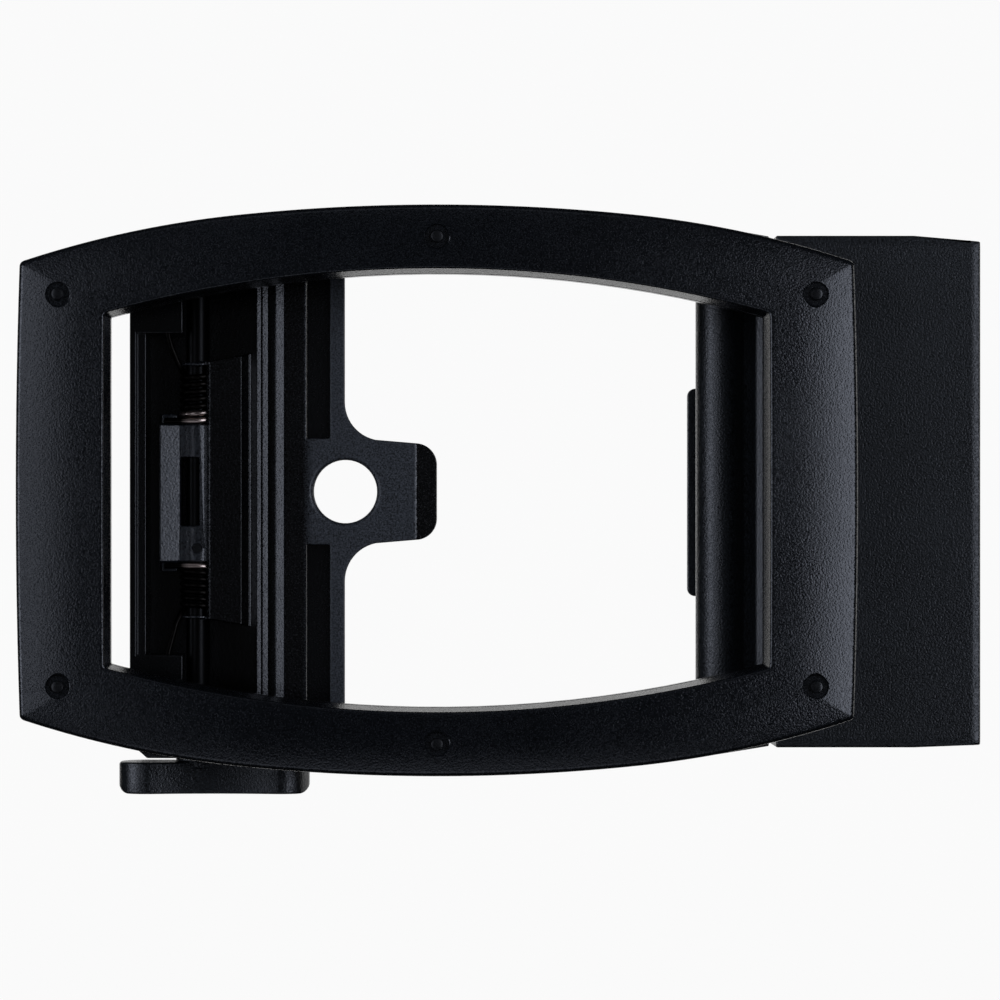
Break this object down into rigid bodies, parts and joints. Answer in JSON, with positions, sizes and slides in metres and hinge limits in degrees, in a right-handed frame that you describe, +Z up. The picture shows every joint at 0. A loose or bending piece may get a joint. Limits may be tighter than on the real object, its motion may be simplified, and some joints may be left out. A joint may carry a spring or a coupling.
{
  "type": "ratchet belt buckle",
  "caption": "Open-frame ratchet belt buckle with a spring-loaded pawl, a release lever and a swivelling toothed strap clamp.",
  "frame": {"origin": "middle of the strap passage, at the centre of the bezel", "axes": "+X along the belt towards the strap clamp, +Y from the bezel to the back, +Z up as worn"},
  "size_m": [0.0739, 0.0161, 0.045],
  "materials": {
    "bezel_paint": "fine matt black",
    "chassis_paint": "matt black",
    "ratchet_paint": "matt black",
    "clamp_paint": "matt black",
    "black_steel": "satin black",
    "bright_steel": "drawn"
  },
  "bodies": {
    "frame": {"front_bezel": "bezel_paint", "chassis": "chassis_paint", "bezel_rivets": "black_steel", "mechanism_housing": "chassis_paint", "back_cover": "chassis_paint", "cover_screws": "black_steel", "cross_bar": "chassis_paint", "guide_plate": "chassis_paint", "guide_plate_rivets": "black_steel", "pawl_spring_upper": "bright_steel", "pawl_spring_lower": "bright_steel", "clamp_hinge_pin": "bright_steel"},
    "ratchet": {"pawl": "ratchet_paint", "pawl_shaft": "black_steel", "pawl_roll_pin": "bright_steel", "release_lever": "ratchet_paint", "lever_screw": "black_steel"},
    "clamp": {"clamp_body": "clamp_paint", "door_pin": "bright_steel"},
    "door": {"clamp_door": "clamp_paint", "door_grub_screws": "black_steel"}
  },
  "joints": [
    {"name": "pawl_pivot", "type": "hinge", "parent": "frame", "child": "ratchet", "pos_m": [-0.0186, 0.0044, 0], "axis": [0, 0, 1], "range_deg": [0, 12], "stiffness_Nm_per_rad": 0.02, "springref_deg": -22.92, "deforming": ["pawl_spring_upper", "pawl_spring_lower"]},
    {"name": "clamp_swivel", "type": "hinge", "parent": "frame", "child": "clamp", "pos_m": [0.0224, 0.0057, 0], "axis": [0, 0, 1], "range_deg": [-12, 35]},
    {"name": "door_hinge", "type": "hinge", "parent": "clamp", "child": "door", "pos_m": [0.0396, 0.0094, 0], "axis": [0, 0, -1], "range_deg": [0, 100]}
  ]
}
